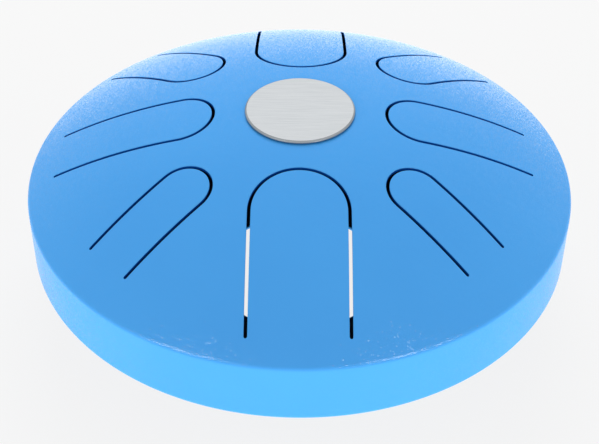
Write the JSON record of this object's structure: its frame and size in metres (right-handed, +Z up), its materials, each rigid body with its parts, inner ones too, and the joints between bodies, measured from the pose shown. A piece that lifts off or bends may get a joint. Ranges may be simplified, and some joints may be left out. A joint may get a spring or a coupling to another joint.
{
  "type": "steel tongue drum",
  "caption": "Round lens-shaped steel drum with straight-sided, round-tipped tongues cut in its domed top, a bare brushed badge on the crown, a sound hole below and rubber feet.",
  "frame": {"origin": "on the floor plane under the middle of the drum, where the soles of the feet rest", "axes": "+Z up along the drum's axis; -Y towards the front tongue and the player; +X to the player's right"},
  "size_m": [0.254, 0.254, 0.1049],
  "materials": {
    "powder_coat": "fine-textured satin powder coat, sky blue",
    "badge_steel": "straight-brushed stainless steel",
    "adhesive": "acrylic foam tape",
    "foot_rubber": "matt moulded rubber"
  },
  "bodies": {
    "drum": {"top_shell": "powder_coat", "bottom_shell": "powder_coat", "badge_adhesive": "adhesive", "badge": "badge_steel", "foot_back_right": "foot_rubber", "foot_back_left": "foot_rubber", "foot_front_left": "foot_rubber", "foot_front_right": "foot_rubber"},
    "tongue_front": {"tongue_front": "powder_coat"},
    "tongue_front_right": {"tongue_front_right": "powder_coat"},
    "tongue_right": {"tongue_right": "powder_coat"},
    "tongue_back_right": {"tongue_back_right": "powder_coat"},
    "tongue_back": {"tongue_back": "powder_coat"},
    "tongue_back_left": {"tongue_back_left": "powder_coat"},
    "tongue_left": {"tongue_left": "powder_coat"},
    "tongue_front_left": {"tongue_front_left": "powder_coat"}
  },
  "joints": [
    {"name": "front_flex", "type": "hinge", "parent": "drum", "child": "tongue_front", "pos_m": [0, -0.1152, 0.07309], "axis": [-1, 0, 0], "range_deg": [-0.3, 0.3], "stiffness_Nm_per_rad": 98.3},
    {"name": "front_right_flex", "type": "hinge", "parent": "drum", "child": "tongue_front_right", "pos_m": [0.0799, -0.07296, 0.07715], "axis": [-0.6743, -0.7385, 0], "range_deg": [-0.3, 0.3], "stiffness_Nm_per_rad": 80.3},
    {"name": "right_flex", "type": "hinge", "parent": "drum", "child": "tongue_right", "pos_m": [0.10709, 0.00168, 0.07766], "axis": [0.0157, -0.9999, 0], "range_deg": [-0.3, 0.3], "stiffness_Nm_per_rad": 78.3},
    {"name": "back_right_flex", "type": "hinge", "parent": "drum", "child": "tongue_back_right", "pos_m": [0.08459, 0.08083, 0.07223], "axis": [0.6909, -0.723, 0], "range_deg": [-0.3, 0.3], "stiffness_Nm_per_rad": 89.1},
    {"name": "back_flex", "type": "hinge", "parent": "drum", "child": "tongue_back", "pos_m": [0.0002, 0.1164, 0.07239], "axis": [1, -0.0017, 0], "range_deg": [-0.3, 0.3], "stiffness_Nm_per_rad": 98.6},
    {"name": "back_left_flex", "type": "hinge", "parent": "drum", "child": "tongue_back_left", "pos_m": [-0.0856, 0.08266, 0.07105], "axis": [0.6947, 0.7193, 0], "range_deg": [-0.3, 0.3], "stiffness_Nm_per_rad": 86.2},
    {"name": "left_flex", "type": "hinge", "parent": "drum", "child": "tongue_left", "pos_m": [-0.11318, 0.00217, 0.07439], "axis": [0.0192, 0.9998, 0], "range_deg": [-0.3, 0.3], "stiffness_Nm_per_rad": 71.8},
    {"name": "front_left_flex", "type": "hinge", "parent": "drum", "child": "tongue_front_left", "pos_m": [-0.08195, -0.07457, 0.07577], "axis": [-0.673, 0.7396, 0], "range_deg": [-0.3, 0.3], "stiffness_Nm_per_rad": 76.4}
  ]
}
